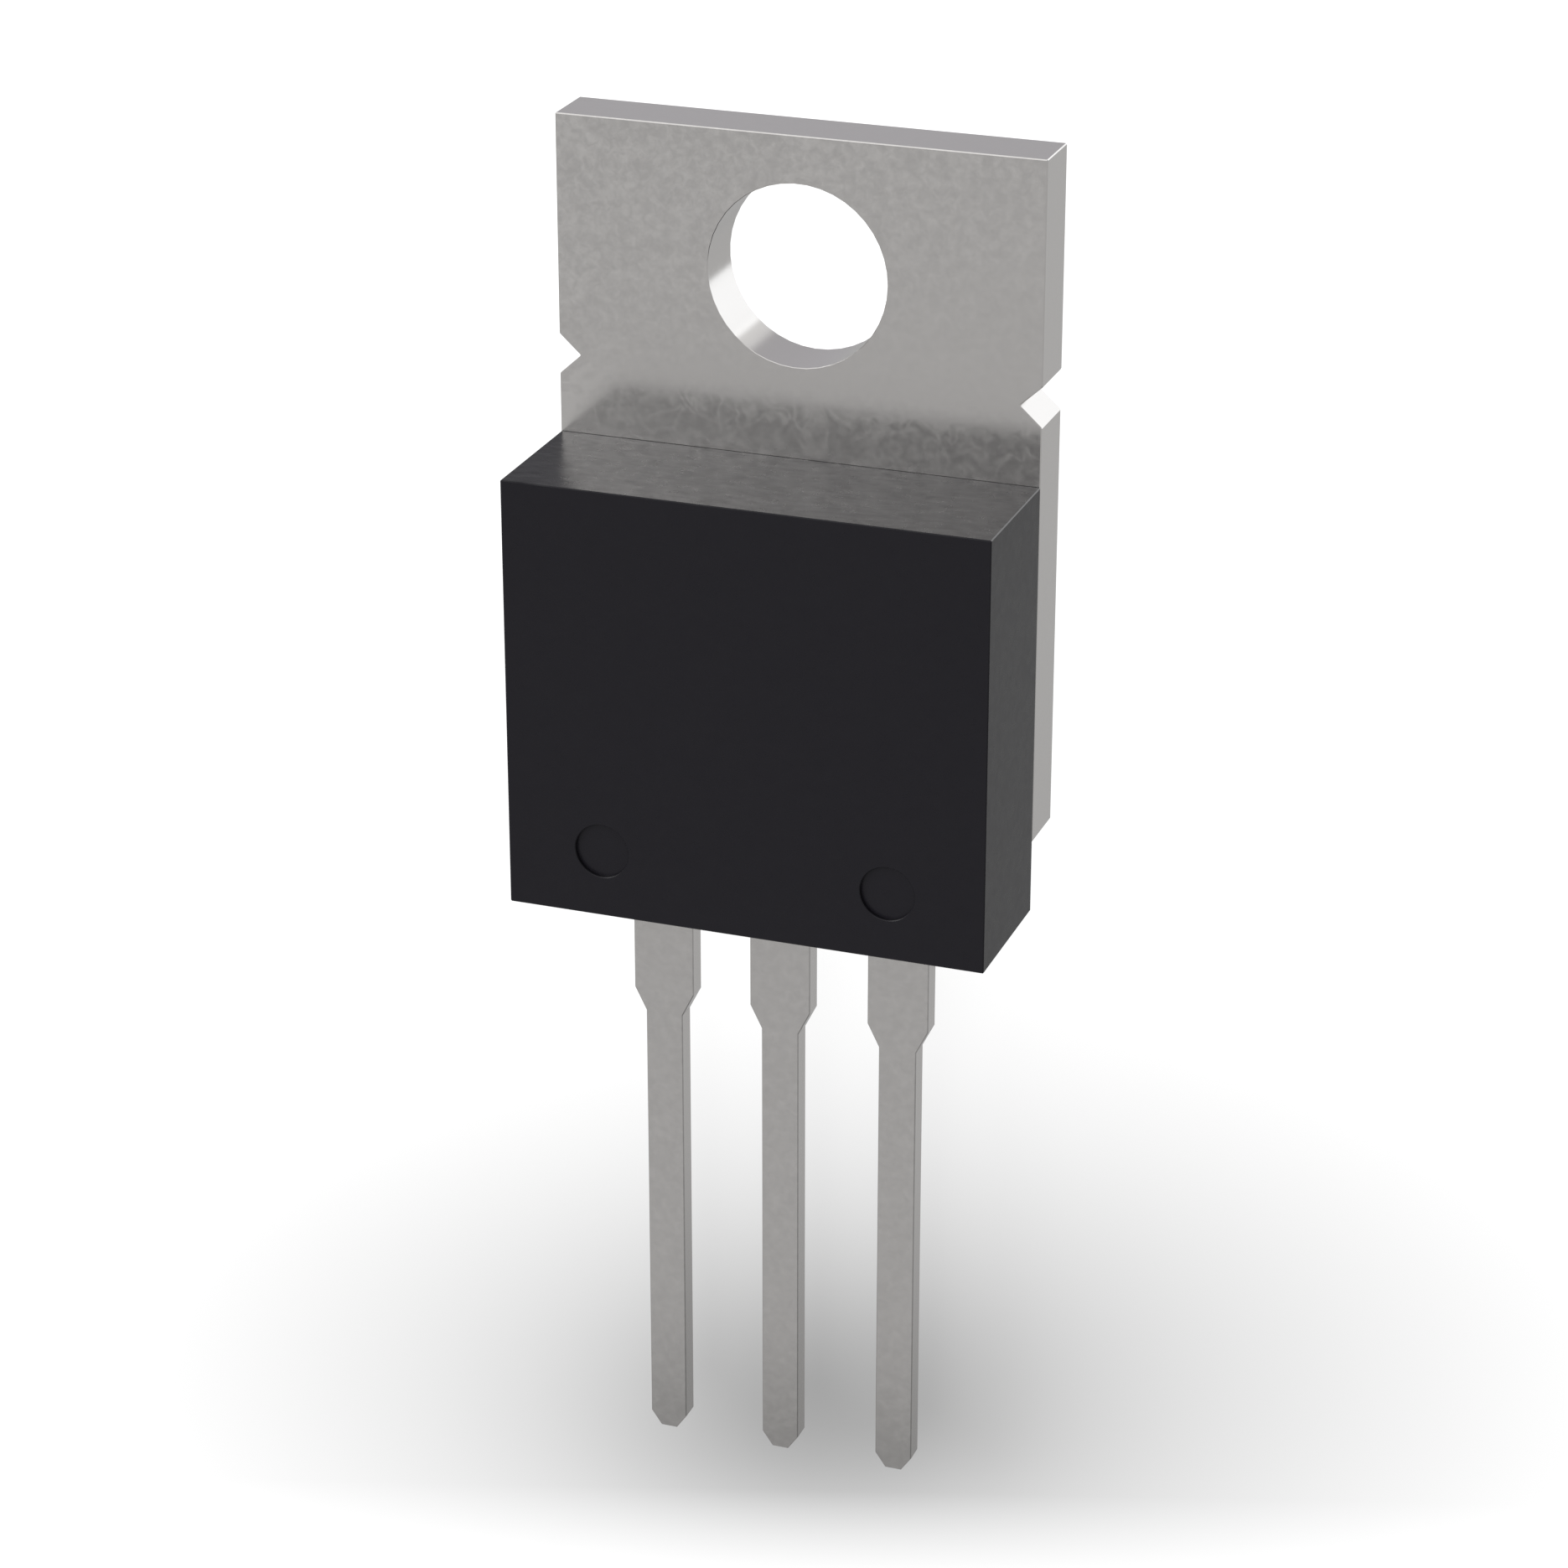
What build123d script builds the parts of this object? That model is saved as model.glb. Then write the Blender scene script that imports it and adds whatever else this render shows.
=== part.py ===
from build123d import *
import os

os.makedirs("parts", exist_ok=True)

# Triac in a three-lead tab package, lying on its mounting base.
# Origin: centre of the tab hole, on the mounting base. Millimetres.
# +X to the right seen from the front, +Y towards the tab's free end, +Z out of the front.

# Mounting tab
TAB_WIDTH = 10.0
TAB_THICKNESS = 1.27
TAB_SHOWING = 6.52  # free end of the tab to the body
TAB_END_INSET = 1.50  # covered end of the tab to the lead end of the body
TAB_EDGE_BREAK = 0.02
HOLE_DIAMETER = 3.70
HOLE_TO_TAB_TOP = 2.80
HOLE_EDGE_BREAK = 0.01  # front rim only
NOTCH_BELOW_HOLE = 2.10  # point of each side notch, from the hole's centre
NOTCH_DEPTH = 0.45
NOTCH_HEIGHT = 0.82
GROOVE_WIDTH = 0.40  # V-grooves that lock the moulding to the tab
GROOVE_DEPTH = 0.20
GROOVE_END_MARGIN = 1.20  # end of each groove to the side of the tab
GROOVE_TO_CHIP = 0.55  # middle of each groove to the chip

# Moulded body
BODY_WIDTH = 10.0
BODY_LENGTH = 9.0
BODY_DEPTH = 3.13
BODY_EDGE_BREAK = 0.02
PIN_MARK_DIAMETER = 1.13
PIN_MARK_DEPTH = 0.10
PIN_MARK_SPACING = 6.0
PIN_MARK_TO_END = 1.40  # middle of each mark to the lead end of the body
PIN_MARK_EDGE_BREAK = 0.015

# Leads
LEAD_PITCH = 2.54
LEAD_THICKNESS = 0.45
LEAD_LENGTH = 13.0  # outside the body
LEAD_WIDTH = 0.80
LEAD_GAP_TO_TAB = 0.53  # back of the leads to the front plane of the tab
LEAD_EDGE_BREAK = 0.02
SHOULDER_WIDTH = 1.30
SHOULDER_LENGTH = 2.60
TAPER_LENGTH = 0.50
TIP_WIDTH = 0.35
TIP_LENGTH = 0.32
POST_WIDTH = 2.40  # bonding posts of the two outer leads
POST_HEIGHT = 1.10
POST_TO_END = 0.90  # lower edge of each post to the lead end of the body
NECK_TO_END = 1.40  # forward bend of the centre lead to the lead end of the body
NECK_BEND_RADIUS = 0.40

# Chip, solder and bond wires
CHIP_SIZE = 3.20
CHIP_THICKNESS = 0.25
CHIP_TO_BODY_TOP = 1.70
SOLDER_THICKNESS = 0.05
SOLDER_MARGIN = 0.10  # solder showing round the chip
MAIN_PAD_OFFSET = 0.40  # main bond to the middle of the chip, towards its own lead
GATE_PAD_INSET = 0.45  # gate bond to the two nearest edges of the chip
MAIN_WIRE_DIAMETER = 0.38
MAIN_WIRE_RISE = 1.40  # top of the loop above the chip
GATE_WIRE_DIAMETER = 0.15
GATE_WIRE_RISE = 0.90
FOOT_LENGTH = 2.2  # wedge foot of a bond wire, in wire diameters, and so are the next three
FOOT_WIDTH = 1.4
FOOT_HEIGHT = 0.6
WIRE_BEND_RADIUS = 1.2

# Planes that the pieces share
tab_top = HOLE_TO_TAB_TOP
body_top = tab_top - TAB_SHOWING
body_end = body_top - BODY_LENGTH
tab_end = body_end + TAB_END_INSET
tab_front = TAB_THICKNESS
body_front = tab_front + BODY_DEPTH
lead_back = tab_front + LEAD_GAP_TO_TAB
lead_front = lead_back + LEAD_THICKNESS
lead_tip = body_end - LEAD_LENGTH
chip_y = body_top - CHIP_TO_BODY_TOP - CHIP_SIZE / 2
chip_back = tab_front + SOLDER_THICKNESS
chip_front = chip_back + CHIP_THICKNESS
post_y = body_end + POST_TO_END + POST_HEIGHT / 2


def span(width, y_low, y_high, z_low, z_high, x=0.0):
    """A block centred on x, between two values of y and two of z."""
    block = Box(width, y_high - y_low, z_high - z_low, align=(Align.CENTER, Align.MIN, Align.MIN))
    return Pos(x, y_low, z_low) * block


def tab_outline():
    """The tab from the front, with a V-notch in each long edge."""
    side = TAB_WIDTH / 2
    outline = Pos(0, (tab_top + tab_end) / 2) * Rectangle(TAB_WIDTH, tab_top - tab_end)
    for x, inwards in ((-side, 1), (side, -1)):
        mouth = NOTCH_HEIGHT / 2
        outline -= make_face(
            Polyline(
                (x, -NOTCH_BELOW_HOLE + mouth),
                (x + inwards * NOTCH_DEPTH, -NOTCH_BELOW_HOLE),
                (x, -NOTCH_BELOW_HOLE - mouth),
                close=True,
            )
        )
    return outline


def lock_grooves():
    """Two V-shaped bars across the tab's front, one each side of the chip."""
    length = TAB_WIDTH - 2 * GROOVE_END_MARGIN
    half = GROOVE_WIDTH / 2
    reach = CHIP_SIZE / 2 + GROOVE_TO_CHIP
    bars = []
    for y in (chip_y + reach, chip_y - reach):
        section = Polyline(
            (-length / 2, y - half, tab_front),
            (-length / 2, y, tab_front - GROOVE_DEPTH),
            (-length / 2, y + half, tab_front),
            close=True,
        )
        bars.append(extrude(make_face(section), amount=length, dir=(1, 0, 0)))
    return bars


def lead_outline(x, y_top):
    """A lead from the front: shoulder, taper, narrow leg and chamfered tip."""
    shoulder_end = body_end - SHOULDER_LENGTH
    leg_top = shoulder_end - TAPER_LENGTH
    right = [
        (SHOULDER_WIDTH / 2, y_top),
        (SHOULDER_WIDTH / 2, shoulder_end),
        (LEAD_WIDTH / 2, leg_top),
        (LEAD_WIDTH / 2, lead_tip + TIP_LENGTH),
        (TIP_WIDTH / 2, lead_tip),
    ]
    left = [(-half, y) for half, y in reversed(right)]
    return Pos(x, 0) * make_face(Polyline(*right, *left, close=True))


def lead_blade(outline, blunt_end=None):
    """Sheet metal of a lead's thickness with its edges broken, but for those at y = blunt_end."""
    blade = extrude(Pos(0, 0, lead_back) * outline, amount=LEAD_THICKNESS)
    edges = blade.edges().filter_by(Plane.XY)
    if blunt_end is not None:
        edges -= edges.filter_by_position(Axis.Y, blunt_end, blunt_end)
    return chamfer(edges, LEAD_EDGE_BREAK)


def centre_neck():
    """Forward set of the centre lead, from the tab's front layer up to the plane of the leads."""
    low = tab_front - LEAD_THICKNESS / 2
    high = lead_back + LEAD_THICKNESS / 2
    outer_bend = body_end + NECK_TO_END
    inner_bend = outer_bend + high - low  # the set rises at 45 degrees
    root = inner_bend + NECK_BEND_RADIUS
    end = outer_bend - NECK_BEND_RADIUS
    path = FilletPolyline(
        (0, root, low),
        (0, inner_bend, low),
        (0, outer_bend, high),
        (0, end, high),
        radius=NECK_BEND_RADIUS,
    )
    start = Plane(origin=(0, root, low), x_dir=(1, 0, 0), z_dir=(0, -1, 0))
    return sweep(start * Rectangle(SHOULDER_WIDTH, LEAD_THICKNESS), path=path), end


def mounting_tab():
    """Tab and centre lead, stamped from one strip of copper."""
    plate = extrude(tab_outline(), amount=TAB_THICKNESS)
    plate = chamfer(plate.edges(), TAB_EDGE_BREAK)
    plate -= Cylinder(HOLE_DIAMETER / 2, 3 * TAB_THICKNESS)
    rims = plate.edges().filter_by(GeomType.CIRCLE)
    plate = chamfer(rims.sort_by(Axis.Z)[-1], HOLE_EDGE_BREAK)
    for groove in lock_grooves():
        plate -= groove
    neck, neck_end = centre_neck()
    return plate + neck + lead_blade(lead_outline(0, neck_end), blunt_end=neck_end)


def outer_lead(side):
    """Outer lead with its bonding post; side is -1 for the left one and 1 for the right one."""
    x = side * LEAD_PITCH
    post_x = x + side * (POST_WIDTH - SHOULDER_WIDTH) / 2
    post = Pos(post_x, post_y) * Rectangle(POST_WIDTH, POST_HEIGHT)
    return lead_blade(lead_outline(x, post_y) + post), (post_x, post_y, lead_front)


def chip_and_solder():
    """Square silicon chip on its solder layer."""
    half = CHIP_SIZE / 2
    chip = span(CHIP_SIZE, chip_y - half, chip_y + half, chip_back, chip_front)
    half += SOLDER_MARGIN
    return chip, span(2 * half, chip_y - half, chip_y + half, tab_front, chip_back)


def bond_wire(start, end, diameter, rise):
    """Round wire in a loop from one pad to another, with a flattened foot on each."""
    radius = diameter / 2
    heel = FOOT_LENGTH * diameter / 2
    start = Vector(*start)
    end = Vector(*end)
    level = Vector(end.X - start.X, end.Y - start.Y, 0)
    along = level.normalized()
    up = Vector(0, 0, 1)
    crest = start + up * (rise - radius)
    leave = start + up * radius
    land = end + up * radius
    path = FilletPolyline(
        leave,
        leave + along * heel,
        crest + along * (heel + rise / 2),
        crest + along * (level.length / 2),
        land - along * heel,
        land,
        radius=WIRE_BEND_RADIUS * diameter,
    )
    wire = sweep(Plane(origin=leave, z_dir=along) * Circle(radius), path=path)
    foot = Box(
        FOOT_LENGTH * diameter,
        FOOT_WIDTH * diameter,
        FOOT_HEIGHT * diameter,
        align=(Align.CENTER, Align.CENTER, Align.MIN),
    )
    for pad in (start, end):
        wire += Plane(origin=pad, x_dir=along, z_dir=up) * foot
    return wire


def pin_marks():
    """Two shallow round recesses left by the mould's ejector pins."""
    y = body_end + PIN_MARK_TO_END
    marks = []
    for x in (-PIN_MARK_SPACING / 2, PIN_MARK_SPACING / 2):
        marks.append(Pos(x, y, body_front) * Cylinder(PIN_MARK_DIAMETER / 2, 2 * PIN_MARK_DEPTH))
    return marks


def moulded_body(inner_pieces):
    """Epoxy block moulded round everything in front of the tab."""
    body = span(BODY_WIDTH, body_end, body_top, tab_front, body_front)
    body = chamfer(body.edges(), BODY_EDGE_BREAK)
    for mark in pin_marks():
        body -= mark
    rims = body.edges().filter_by(GeomType.CIRCLE)
    body = chamfer(rims.filter_by_position(Axis.Z, body_front, body_front), PIN_MARK_EDGE_BREAK)
    for rib in lock_grooves():
        body += rib
    for piece in inner_pieces:
        body -= piece
    return body


tab = mounting_tab()
main_lead, main_post = outer_lead(-1)
gate_lead, gate_post = outer_lead(1)
chip, solder = chip_and_solder()
main_pad = (-MAIN_PAD_OFFSET, chip_y, chip_front)
gate_reach = CHIP_SIZE / 2 - GATE_PAD_INSET
gate_pad = (gate_reach, chip_y - gate_reach, chip_front)
main_wire = bond_wire(main_pad, main_post, MAIN_WIRE_DIAMETER, MAIN_WIRE_RISE)
gate_wire = bond_wire(gate_pad, gate_post, GATE_WIRE_DIAMETER, GATE_WIRE_RISE)

pieces = {
    "tab_and_centre_lead": tab,
    "main_terminal_lead": main_lead,
    "gate_lead": gate_lead,
    "chip": chip,
    "chip_solder": solder,
    "main_bond_wire": main_wire,
    "gate_bond_wire": gate_wire,
}
pieces["moulded_body"] = moulded_body(list(pieces.values()))

for name, piece in pieces.items():
    export_step(piece, f"parts/{name}.step")
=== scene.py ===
"""Looks of the triac: camera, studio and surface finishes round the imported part.

Metres, in the row frame: +X to the right seen from the front, +Y towards the tab's free end,
+Z out of the front.
"""

import math

import bpy
from mathutils import Matrix, Vector


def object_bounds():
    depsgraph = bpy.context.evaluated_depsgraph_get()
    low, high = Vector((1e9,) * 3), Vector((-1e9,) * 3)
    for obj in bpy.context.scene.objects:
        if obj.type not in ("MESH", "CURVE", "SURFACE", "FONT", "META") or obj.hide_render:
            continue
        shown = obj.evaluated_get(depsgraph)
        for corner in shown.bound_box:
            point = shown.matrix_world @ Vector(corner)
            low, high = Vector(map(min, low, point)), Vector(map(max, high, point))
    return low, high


MM = 0.001

# Camera, as seen from the object's front
VIEW_RIGHT = math.radians(19.855)  # round towards +X
VIEW_UP = math.radians(23.376)  # up towards +Y
VIEW_DISTANCE = 92.79 * MM
AIM_ABOVE_MIDDLE = 1.072 * MM  # along +Y
AIM_BEHIND_MIDDLE = 0.197 * MM  # along -Z
FOCAL_LENGTH = 106.03  # millimetres, on a sensor of the width below
SENSOR_WIDTH = 36

# Floor: a round sheet, a hair below the mounting base
FLOOR_RADIUS = 1.5
FLOOR_SIDES = 64
FLOOR_DROP = 0.002 * MM
FLOOR_GLOW = 1.036
FLOOR_GREY = 0.12
# Painted pools of shade on it, millimetres: centre from the tips' middle, reach down and up X,
# reach down and up Y, strength
FLOOR_POOLS = (
    ((1.85, 0.06), (25.2, 21.1), (11.65, 11.8), 0.502),
    ((-0.08, -0.56), (7.1, 7.1), (4.1, 5.4), 0.273),
)
SHADE_SLANT = 0.191  # turns the pools until their long axis runs level in the picture
SHADE_ENDS, SHADE_FULL = -6.16 * MM, -2.40 * MM  # fade, along Y from the tips

# Dark card past the lead tips: painted shade in the gloss of the leads
CARD_LOW, CARD_HIGH, CARD_HALF = -30 * MM, 20 * MM, 30 * MM
CARD_PAST_TIPS = 0.5 * MM
CARD_MIDDLE = (0.0, 2.0 * MM)
CARD_REACH = ((14 * MM, 14 * MM), (14 * MM, 6 * MM))
CARD_STRENGTH = 0.36

# Overhead panel
LAMP_WIDTH = 0.40
LAMP_POWER = 1.5
LAMP_PLACE = (0.0, 0.10, 0.50)

# Tin plate
TIN_DULL, TIN_PALE = (0.729, 0.710, 0.694), (0.848, 0.826, 0.806)
TIN_MIDDLE_TONE = 0.52
TIN_METALLIC = 0.98
TIN_ROUGHNESS = 0.176
VEIN_HALF_WIDTH = 0.12  # in the noise that the veins are lines of
PAINTED_VEIN_SHEEN = 0.13

# Epoxy
EPOXY_DARK, EPOXY_PALE = (0.0068, 0.0062, 0.0085), (0.0076, 0.0070, 0.0093)
EPOXY_CORNER_HIGHLIGHT = (0.2, 0.2, 0.2)
EPOXY_GLOSS = 0.262
SKIN_DEPTH = 0.02 * MM
SKIN_STRENGTH = 0.06
RIPPLE_DEPTH = 0.03 * MM
RIPPLE_STRENGTH = 0.20
RIPPLES_PER_MILLIMETRE = (2.1, 3.0, 5.8)
EPOXY_OUTER_X = 4.5  # millimetres: the corners with the painted highlight lie beyond it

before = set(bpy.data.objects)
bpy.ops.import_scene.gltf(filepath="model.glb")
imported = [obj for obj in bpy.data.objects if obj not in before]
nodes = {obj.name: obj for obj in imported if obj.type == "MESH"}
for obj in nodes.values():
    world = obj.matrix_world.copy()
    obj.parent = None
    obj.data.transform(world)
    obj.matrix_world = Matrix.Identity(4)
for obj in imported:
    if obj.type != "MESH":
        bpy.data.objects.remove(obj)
cad_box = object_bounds()
box_low, box_high = cad_box
middle = (box_low + box_high) / 2


def make_camera():
    """Camera at the picture's viewing angle, with the tab's end up."""
    back = Vector(
        (
            math.sin(VIEW_RIGHT) * math.cos(VIEW_UP),
            math.sin(VIEW_UP),
            math.cos(VIEW_RIGHT) * math.cos(VIEW_UP),
        )
    )
    right = Vector((0, 1, 0)).cross(back).normalized()
    up = back.cross(right)
    aim = Vector((0, middle.y + AIM_ABOVE_MIDDLE, middle.z - AIM_BEHIND_MIDDLE))
    data = bpy.data.cameras.new("camera")
    data.lens = FOCAL_LENGTH
    data.sensor_width = SENSOR_WIDTH
    data.clip_start = VIEW_DISTANCE / 100
    data.clip_end = 10
    camera = bpy.data.objects.new("camera", data)
    turn = Matrix((right, up, back)).transposed()
    camera.matrix_world = Matrix.LocRotScale(aim + back * VIEW_DISTANCE, turn, None)
    bpy.context.scene.collection.objects.link(camera)
    bpy.context.scene.camera = camera


class Tree:
    """Short calls for building a node tree."""

    def __init__(self, tree):
        self.tree = tree
        tree.nodes.clear()

    def add(self, kind, **settings):
        node = self.tree.nodes.new(kind)
        for name, value in settings.items():
            setattr(node, name, value)
        return node

    def link(self, source, target):
        self.tree.links.new(source, target)

    def feed(self, socket, value):
        """Sets a socket to a plain value, or links another socket to it."""
        if isinstance(value, bpy.types.NodeSocket):
            self.link(value, socket)
        else:
            socket.default_value = value

    def math(self, operation, *values):
        node = self.add("ShaderNodeMath", operation=operation)
        for socket, value in zip(node.inputs, values):
            self.feed(socket, value)
        return node.outputs[0]

    def remap(self, value, low, high, to_low=0.0, to_high=1.0, smooth=True):
        kind = "SMOOTHSTEP" if smooth else "LINEAR"
        node = self.add("ShaderNodeMapRange", interpolation_type=kind)
        for socket, given in zip(node.inputs, (value, low, high, to_low, to_high)):
            self.feed(socket, given)
        return node.outputs[0]

    def noise(self, vector, scale, detail=2.0, roughness=0.5, distortion=0.0):
        node = self.add("ShaderNodeTexNoise")
        self.link(vector, node.inputs["Vector"])
        node.inputs["Scale"].default_value = scale
        node.inputs["Detail"].default_value = detail
        node.inputs["Roughness"].default_value = roughness
        node.inputs["Distortion"].default_value = distortion
        return node.outputs["Fac"]

    def blend(self, factor, low, high):
        """One colour to another by factor."""
        node = self.add("ShaderNodeMix", data_type="RGBA")
        self.feed(node.inputs["Factor"], factor)
        node.inputs["A"].default_value = (*low, 1)
        node.inputs["B"].default_value = (*high, 1)
        return node.outputs["Result"]


# Studio light by direction: towards, angular radius and softness in degrees, radiance added
AMBIENT = (0.425, 0.425, 0.425)
PATCHES = (
    ((0.461, 0.126, -0.88), 17.5, 1.5, (0.78, 0.80, 0.82)),
    ((0.206, 0.387, -0.895), 4.25, 4.25, (0.40, 0.40, 0.40)),
    ((-0.66, 0.48, 0.58), 22, 5, (2.85, 2.85, 2.85)),
    ((-0.55, 0.42, 0.72), 12, 8, (1.35, 1.35, 1.35)),
    ((-0.20, 0.74, 0.64), 36, 12, (0.50, 0.50, 0.50)),
    ((0.70, -0.68, 0.22), 19, 4, (-0.19, -0.19, -0.19)),
    ((0.32, -0.62, -0.72), 16, 8, (-0.03, -0.03, -0.03)),
    ((0.27, -0.36, -0.89), 10, 6, (0.043, 0.043, 0.043)),
    ((-0.31, 0.40, -0.86), 24, 10, (0.006, 0.0, 0.020)),
    ((-0.30, -0.50, 0.81), 5, 4, (-0.03, -0.03, -0.03)),
)


def make_world():
    """Even grey surround with soft bright panels, seen by the metal and the gloss of the epoxy."""
    world = bpy.data.worlds.new("studio")
    world.use_nodes = True
    t = Tree(world.node_tree)
    direction = t.add("ShaderNodeTexCoord").outputs["Generated"]
    total = AMBIENT
    for towards, radius, softness, radiance in PATCHES:
        dot = t.add("ShaderNodeVectorMath", operation="DOT_PRODUCT")
        t.link(direction, dot.inputs[0])
        dot.inputs[1].default_value = Vector(towards).normalized()
        outer = math.cos(math.radians(radius + softness))
        inner = math.cos(math.radians(radius - softness))
        panel = t.add("ShaderNodeVectorMath", operation="MULTIPLY_ADD")
        t.link(t.remap(dot.outputs["Value"], outer, inner), panel.inputs[0])
        panel.inputs[1].default_value = radiance
        t.feed(panel.inputs[2], total)
        total = panel.outputs[0]
    background = t.add("ShaderNodeBackground")
    t.link(total, background.inputs["Color"])
    t.link(background.outputs[0], t.add("ShaderNodeOutputWorld").inputs["Surface"])
    bpy.context.scene.world = world


def pool(t, along, across, centre, reach, strength):
    """Soft pool of shade on a plane. Reach is its size down and up each of the two coordinates."""
    total = 0.0
    for value, middle_value, (low, high) in zip((along, across), centre, reach):
        offset = t.math("SUBTRACT", value, middle_value)
        above = t.math("DIVIDE", t.math("MAXIMUM", offset, 0.0), high)
        below = t.math("DIVIDE", t.math("MINIMUM", offset, 0.0), low)
        one_side = t.math("ADD", above, below)
        total = t.math("ADD", t.math("MULTIPLY", one_side, one_side), total)
    return t.math("MULTIPLY", t.math("EXPONENT", t.math("MULTIPLY", total, -2.0)), strength)


def make_floor():
    """Plain pale floor that the part lies on: a lit, glowing sheet, with painted shade near the
    lead tips.

    Gloss looks past it, at the studio."""
    mesh = bpy.data.meshes.new("studio_floor")
    turns = [math.tau * i / FLOOR_SIDES for i in range(FLOOR_SIDES)]
    ring = [
        (FLOOR_RADIUS * math.cos(turn), FLOOR_RADIUS * math.sin(turn), box_low.z)
        for turn in turns
    ]
    mesh.from_pydata(ring, [], [list(range(FLOOR_SIDES))])
    floor = bpy.data.objects.new("studio_floor", mesh)
    bpy.context.scene.collection.objects.link(floor)
    floor.location.z = -FLOOR_DROP
    floor.visible_glossy = False
    floor.visible_shadow = False
    floor.visible_diffuse = False
    material = bpy.data.materials.new("studio_floor")
    material.use_nodes = True
    t = Tree(material.node_tree)
    place = t.add("ShaderNodeSeparateXYZ")
    t.link(t.add("ShaderNodeTexCoord").outputs["Object"], place.inputs[0])
    x, y = place.outputs["X"], place.outputs["Y"]
    slanted = t.math("SUBTRACT", y, t.math("MULTIPLY", x, SHADE_SLANT))
    # Painted shadow: soft pools of shade taken off the floor's glow near the lead tips
    shade = 0.0
    for (centre_x, centre_y), reach_x, reach_y, strength in FLOOR_POOLS:
        centre = (centre_x * MM, box_low.y + centre_y * MM)
        reach = [(down * MM, up * MM) for down, up in (reach_x, reach_y)]
        shade = t.math("ADD", shade, pool(t, x, slanted, centre, reach, strength))
    fade = t.remap(slanted, box_low.y + SHADE_ENDS, box_low.y + SHADE_FULL, smooth=False)
    shade = t.math("MULTIPLY", shade, fade)
    glow = t.add("ShaderNodeEmission")
    t.link(t.math("SUBTRACT", FLOOR_GLOW, shade), glow.inputs["Strength"])
    shader = t.add("ShaderNodeBsdfDiffuse")
    shader.inputs["Color"].default_value = (FLOOR_GREY, FLOOR_GREY, FLOOR_GREY, 1)
    both = t.add("ShaderNodeAddShader")
    t.link(shader.outputs[0], both.inputs[0])
    t.link(glow.outputs[0], both.inputs[1])
    t.link(both.outputs[0], t.add("ShaderNodeOutputMaterial").inputs["Surface"])
    mesh.materials.append(material)


def make_painted_shade_card():
    """Dark sheet just past the lead tips, seen only in the gloss of the leads: a painted reflection
    of shade that darkens them towards the tips.
    """
    y = box_low.y - CARD_PAST_TIPS
    mesh = bpy.data.meshes.new("painted_shade_card")
    corners = [
        (-CARD_HALF, y, CARD_LOW),
        (CARD_HALF, y, CARD_LOW),
        (CARD_HALF, y, CARD_HIGH),
        (-CARD_HALF, y, CARD_HIGH),
    ]
    mesh.from_pydata(corners, [], [(0, 1, 2, 3)])
    card = bpy.data.objects.new("painted_shade_card", mesh)
    bpy.context.scene.collection.objects.link(card)
    card.visible_camera = False
    card.visible_diffuse = False
    card.visible_shadow = False
    card.visible_transmission = False
    material = bpy.data.materials.new("painted_shade_card")
    material.use_nodes = True
    t = Tree(material.node_tree)
    place = t.add("ShaderNodeSeparateXYZ")
    t.link(t.add("ShaderNodeTexCoord").outputs["Object"], place.inputs[0])
    x, z = place.outputs["X"], place.outputs["Z"]
    # Painted shade: the card is darkest round its middle and clear further out
    shade = pool(t, x, z, CARD_MIDDLE, CARD_REACH, CARD_STRENGTH)
    dark = t.add("ShaderNodeEmission")
    dark.inputs["Strength"].default_value = 0.0
    through = t.add("ShaderNodeBsdfTransparent")
    mix = t.add("ShaderNodeMixShader")
    t.link(shade, mix.inputs[0])
    t.link(through.outputs[0], mix.inputs[1])
    t.link(dark.outputs[0], mix.inputs[2])
    t.link(mix.outputs[0], t.add("ShaderNodeOutputMaterial").inputs["Surface"])
    mesh.materials.append(material)


def make_lights():
    """Wide soft panel over the floor."""
    data = bpy.data.lights.new("overhead", "AREA")
    data.shape = "DISK"
    data.size = LAMP_WIDTH
    data.energy = LAMP_POWER
    light = bpy.data.objects.new("overhead", data)
    light.location = LAMP_PLACE
    light.rotation_euler = light.location.to_track_quat("Z", "Y").to_euler()
    light.visible_glossy = False
    bpy.context.scene.collection.objects.link(light)


def millimetres(t):
    """The surface's own place in the row frame, in millimetres."""
    scale = t.add("ShaderNodeVectorMath", operation="SCALE")
    t.link(t.add("ShaderNodeTexCoord").outputs["Object"], scale.inputs[0])
    scale.inputs["Scale"].default_value = 1 / MM
    return scale.outputs["Vector"]


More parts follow.
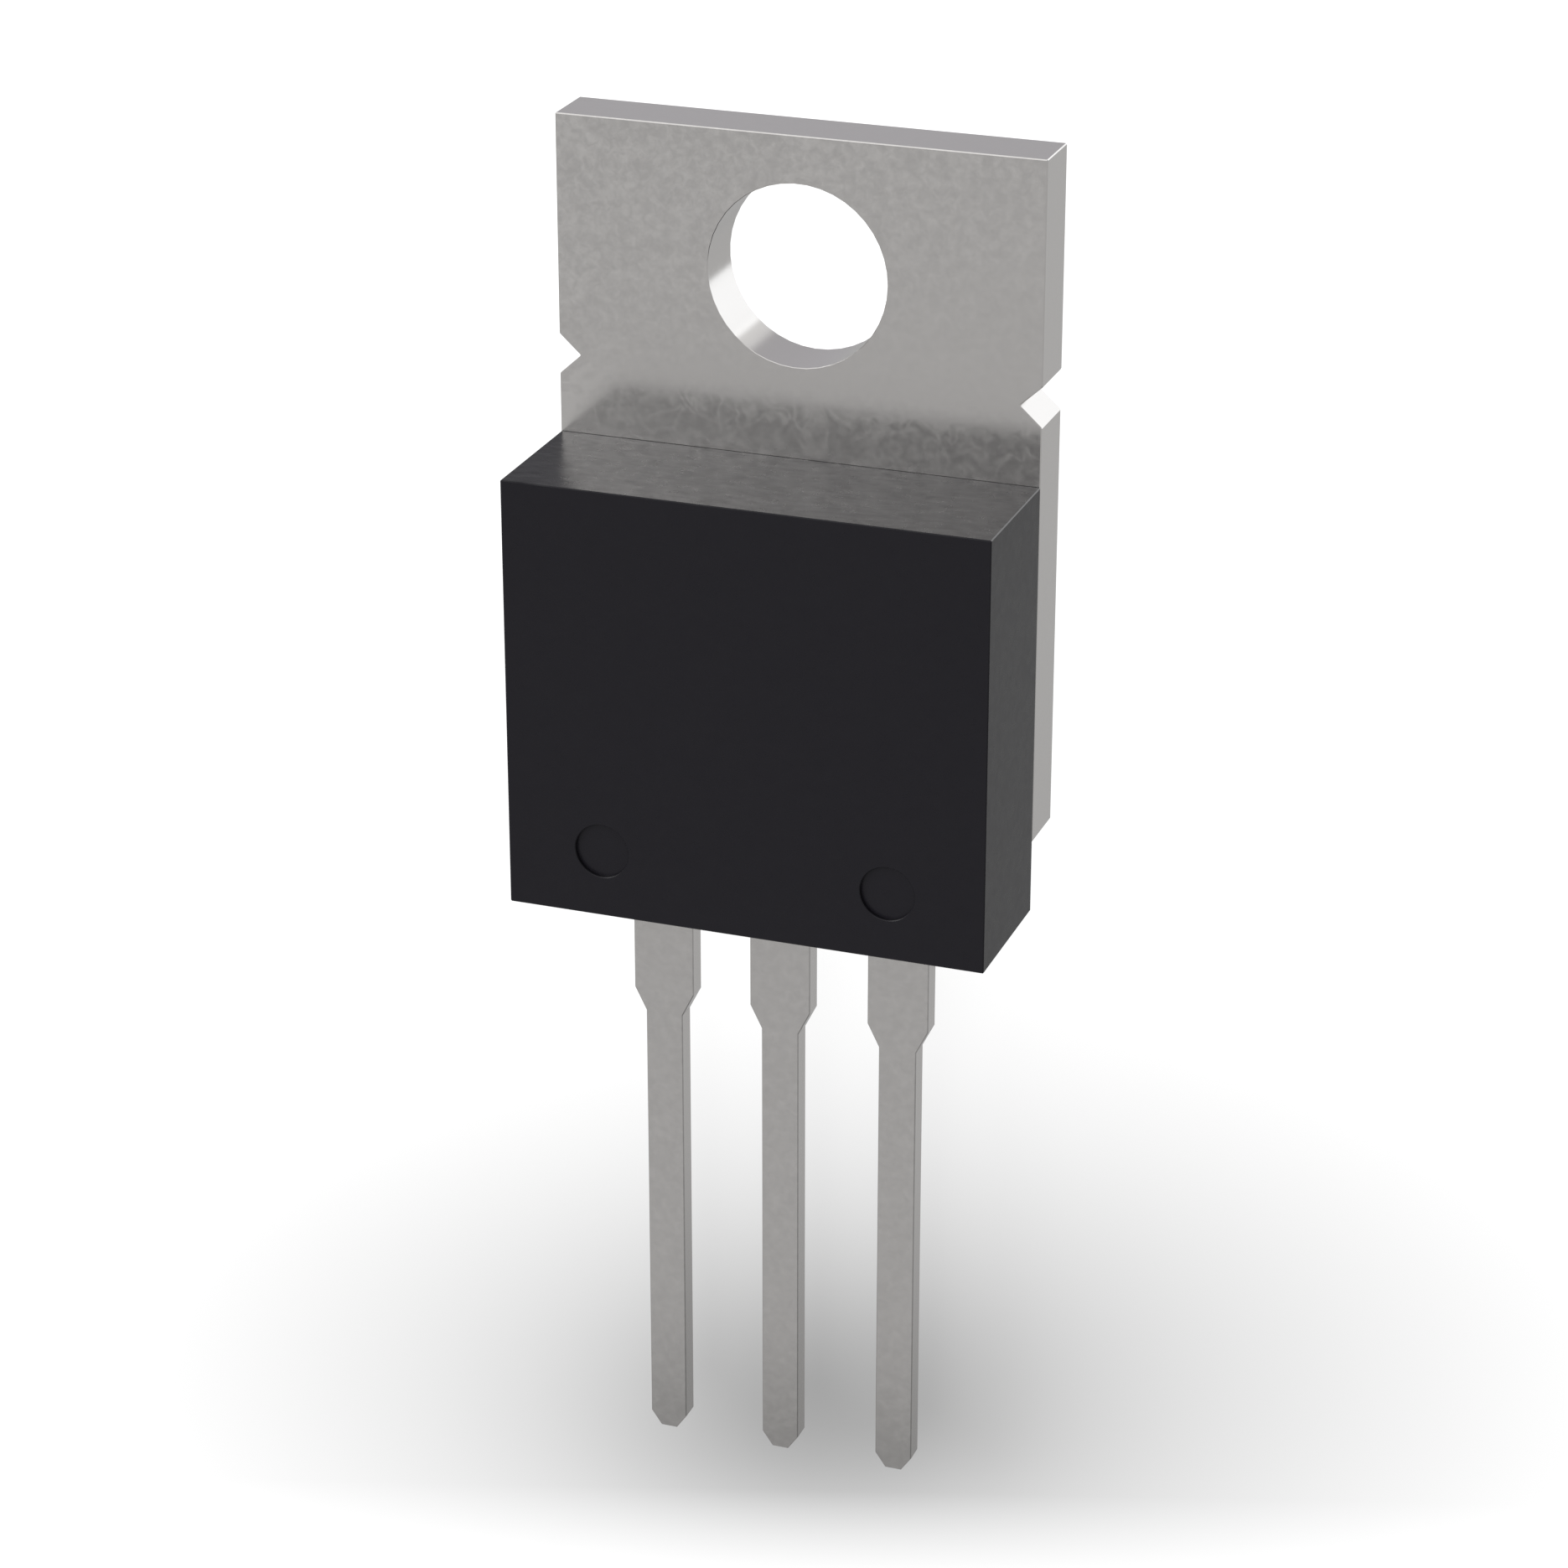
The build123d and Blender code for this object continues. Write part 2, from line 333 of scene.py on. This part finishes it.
def tinned_copper():
    """Matte tin plate: clouded towards one corner of the tab's front, with duller veins.

    The veins run between the grains; beside the moulding they are painted paler, a painted sheen in
    the tab's gloss."""
    material = bpy.data.materials.new("tinned_copper")
    material.use_nodes = True
    t = Tree(material.node_tree)
    place = millimetres(t)
    clouds = t.noise(place, 5.0, detail=5, roughness=0.62, distortion=0.4)
    grains = t.noise(place, 1.6, detail=1.5, roughness=0.5, distortion=1.1)
    to_vein = t.math("ABSOLUTE", t.math("SUBTRACT", grains, 0.5))
    veins = t.remap(to_vein, 0.0, VEIN_HALF_WIDTH, 1.0, 0.0)
    # Clouding is strongest at the tab's free end, towards -X, and only on faces along Z
    spot = t.add("ShaderNodeSeparateXYZ")
    t.link(place, spot.inputs[0])
    facing = t.add("ShaderNodeSeparateXYZ")
    t.link(t.add("ShaderNodeTexCoord").outputs["Normal"], facing.inputs[0])
    across = t.math("MULTIPLY_ADD", spot.outputs["X"], -0.056, 0.56)
    amount = t.math("MULTIPLY_ADD", spot.outputs["Y"], 0.14, across)
    amount = t.remap(amount, 0.28, 1.0, 0.28, 1.0, smooth=False)
    flat = t.remap(t.math("ABSOLUTE", facing.outputs["Z"]), 0.5, 0.9, 0.15, 1.0)
    amount = t.math("MULTIPLY", amount, flat)
    uneven = t.math("SUBTRACT", t.math("MULTIPLY_ADD", veins, 0.03, clouds), TIN_MIDDLE_TONE)
    tone = t.math("MULTIPLY_ADD", uneven, amount, TIN_MIDDLE_TONE)
    # Painted sheen: the veins are made palest on the tab beside the moulding, where its gloss shows
    # the dark body
    near = t.remap(spot.outputs["Y"], -2.7, -1.9, 1.0, 0.0)
    near = t.math("MULTIPLY", near, t.remap(spot.outputs["Y"], -8.0, -7.0))
    near = t.math("MULTIPLY", near, flat)
    vein_sheen = t.math("MULTIPLY", veins, near)
    tone = t.math("MULTIPLY_ADD", vein_sheen, PAINTED_VEIN_SHEEN, tone)
    shader = t.add("ShaderNodeBsdfPrincipled")
    colour = t.blend(t.remap(tone, 0.3, 0.74), TIN_DULL, TIN_PALE)
    t.link(colour, shader.inputs["Base Color"])
    shader.inputs["Metallic"].default_value = TIN_METALLIC
    duller = t.math("MULTIPLY_ADD", veins, 0.046, t.remap(clouds, 0.3, 0.7, -0.046, 0.046))
    t.link(t.math("MULTIPLY_ADD", duller, flat, TIN_ROUGHNESS), shader.inputs["Roughness"])
    t.link(shader.outputs[0], t.add("ShaderNodeOutputMaterial").inputs["Surface"])
    return material


def moulded_epoxy():
    """Near-black filled epoxy with a satin skin, fine flow marks and a painted highlight on the
    outer corners.
    """
    material = bpy.data.materials.new("moulded_epoxy")
    material.use_nodes = True
    t = Tree(material.node_tree)
    place = millimetres(t)
    grain = t.noise(place, 4.5, detail=4, roughness=0.6, distortion=0.5)
    skin = t.add("ShaderNodeBump")
    skin.inputs["Distance"].default_value = SKIN_DEPTH
    skin.inputs["Strength"].default_value = SKIN_STRENGTH
    t.link(grain, skin.inputs["Height"])
    # Ripples across X on the faces along Y
    stretch = t.add("ShaderNodeVectorMath", operation="MULTIPLY")
    t.link(place, stretch.inputs[0])
    stretch.inputs[1].default_value = RIPPLES_PER_MILLIMETRE
    stretched = stretch.outputs["Vector"]
    ripples = t.noise(stretched, 1.0, detail=2.5, roughness=0.55, distortion=0.3)
    bump = t.add("ShaderNodeBump")
    bump.inputs["Distance"].default_value = RIPPLE_DEPTH
    t.link(ripples, bump.inputs["Height"])
    t.link(skin.outputs[0], bump.inputs["Normal"])
    facing = t.add("ShaderNodeSeparateXYZ")
    t.link(t.add("ShaderNodeTexCoord").outputs["Normal"], facing.inputs[0])
    along_y = t.math("ABSOLUTE", facing.outputs["Y"])
    t.link(t.remap(along_y, 0.3, 0.9, 0.0, RIPPLE_STRENGTH), bump.inputs["Strength"])
    # The body's outer corners along Z face between X and Y, and get a painted highlight
    both = t.math("ABSOLUTE", t.math("MULTIPLY", facing.outputs["X"], facing.outputs["Y"]))
    sideways = t.add("ShaderNodeSeparateXYZ")
    t.link(place, sideways.inputs[0])
    outer = t.math("GREATER_THAN", t.math("ABSOLUTE", sideways.outputs["X"]), EPOXY_OUTER_X)
    corner = t.math("MULTIPLY", t.remap(both, 0.3, 0.48), outer)
    shader = t.add("ShaderNodeBsdfPrincipled")
    body = t.blend(grain, EPOXY_DARK, EPOXY_PALE)
    uneven = t.remap(along_y, 0.3, 0.9, 0.04, 0.38)
    gloss = t.math("MULTIPLY_ADD", t.math("SUBTRACT", ripples, 0.5), uneven, EPOXY_GLOSS)
    t.link(gloss, shader.inputs["Specular IOR Level"])
    # Painted highlight: a paler grey added along the outer corners
    corner_highlight = t.blend(corner, (0, 0, 0), EPOXY_CORNER_HIGHLIGHT)
    mix = t.add("ShaderNodeMix", data_type="RGBA", blend_type="ADD")
    mix.inputs["Factor"].default_value = 1
    t.link(body, mix.inputs["A"])
    t.link(corner_highlight, mix.inputs["B"])
    t.link(mix.outputs["Result"], shader.inputs["Base Color"])
    t.link(t.remap(grain, 0.3, 0.7, 0.27, 0.31), shader.inputs["Roughness"])
    t.link(bump.outputs[0], shader.inputs["Normal"])
    t.link(shader.outputs[0], t.add("ShaderNodeOutputMaterial").inputs["Surface"])
    return material


def plain_metal(name, low, high, roughness, scale):
    """A sealed inner piece: bare metal with a fine grain."""
    material = bpy.data.materials.new(name)
    material.use_nodes = True
    t = Tree(material.node_tree)
    grain = t.noise(millimetres(t), scale, detail=3)
    shader = t.add("ShaderNodeBsdfPrincipled")
    t.link(t.blend(grain, low, high), shader.inputs["Base Color"])
    shader.inputs["Metallic"].default_value = 1
    t.link(t.remap(grain, 0.3, 0.7, roughness - 0.06, roughness + 0.06), shader.inputs["Roughness"])
    t.link(shader.outputs[0], t.add("ShaderNodeOutputMaterial").inputs["Surface"])
    return material


def finish_nodes():
    """Gives every CAD node its own finish."""
    metal = tinned_copper()
    finishes = {
        "tab_and_centre_lead": metal,
        "main_terminal_lead": metal,
        "gate_lead": metal,
        "moulded_body": moulded_epoxy(),
        "chip": plain_metal(
            "metallised_silicon", (0.36, 0.37, 0.40), (0.48, 0.49, 0.52), roughness=0.30, scale=6
        ),
        "chip_solder": plain_metal(
            "solder", (0.48, 0.48, 0.47), (0.62, 0.62, 0.61), roughness=0.45, scale=8
        ),
    }
    wire = plain_metal(
        "aluminium_wire", (0.76, 0.76, 0.77), (0.85, 0.85, 0.86), roughness=0.25, scale=12
    )
    finishes["main_bond_wire"] = wire
    finishes["gate_bond_wire"] = wire
    for name, material in finishes.items():
        for slot in nodes[name].material_slots:
            slot.material = material


bpy.context.scene.view_settings.view_transform = "Standard"
make_camera()
make_world()
make_floor()
make_painted_shade_card()
make_lights()
finish_nodes()
